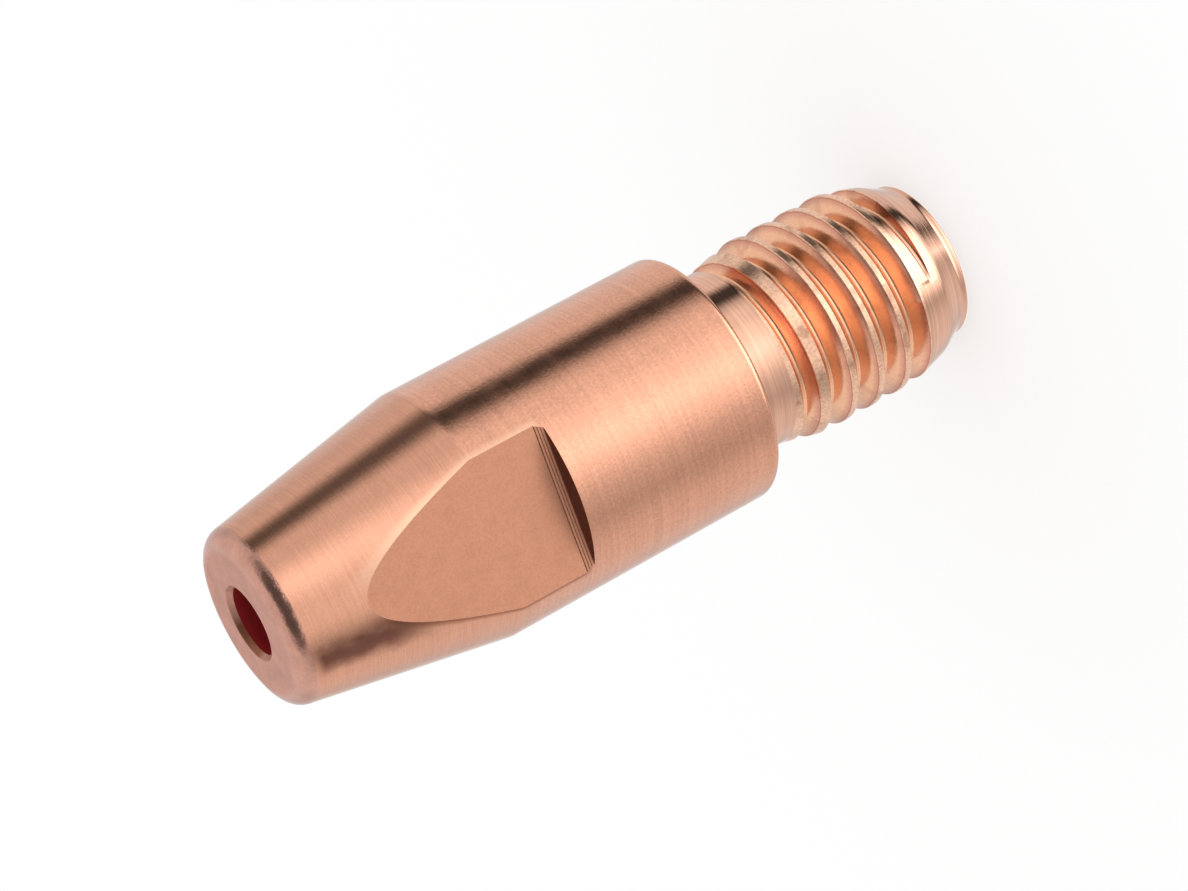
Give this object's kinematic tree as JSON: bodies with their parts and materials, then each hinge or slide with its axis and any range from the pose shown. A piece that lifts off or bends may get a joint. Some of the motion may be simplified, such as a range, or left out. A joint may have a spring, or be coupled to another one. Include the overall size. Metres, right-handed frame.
{
  "type": "welding contact tip",
  "caption": "Turned copper contact tip for a MIG torch: threaded end, neck, round body with two spanner flats, conical nose and a through bore for the wire.",
  "frame": {"origin": "on the axis, in the plane of the threaded end's face", "axes": "+Z along the axis towards the nose; the two spanner flats face +X and -X"},
  "size_m": [0.0098, 0.0098, 0.03],
  "materials": {
    "copper": "satin"
  },
  "bodies": {
    "root": {"contact_tip": "copper"}
  },
  "joints": []
}
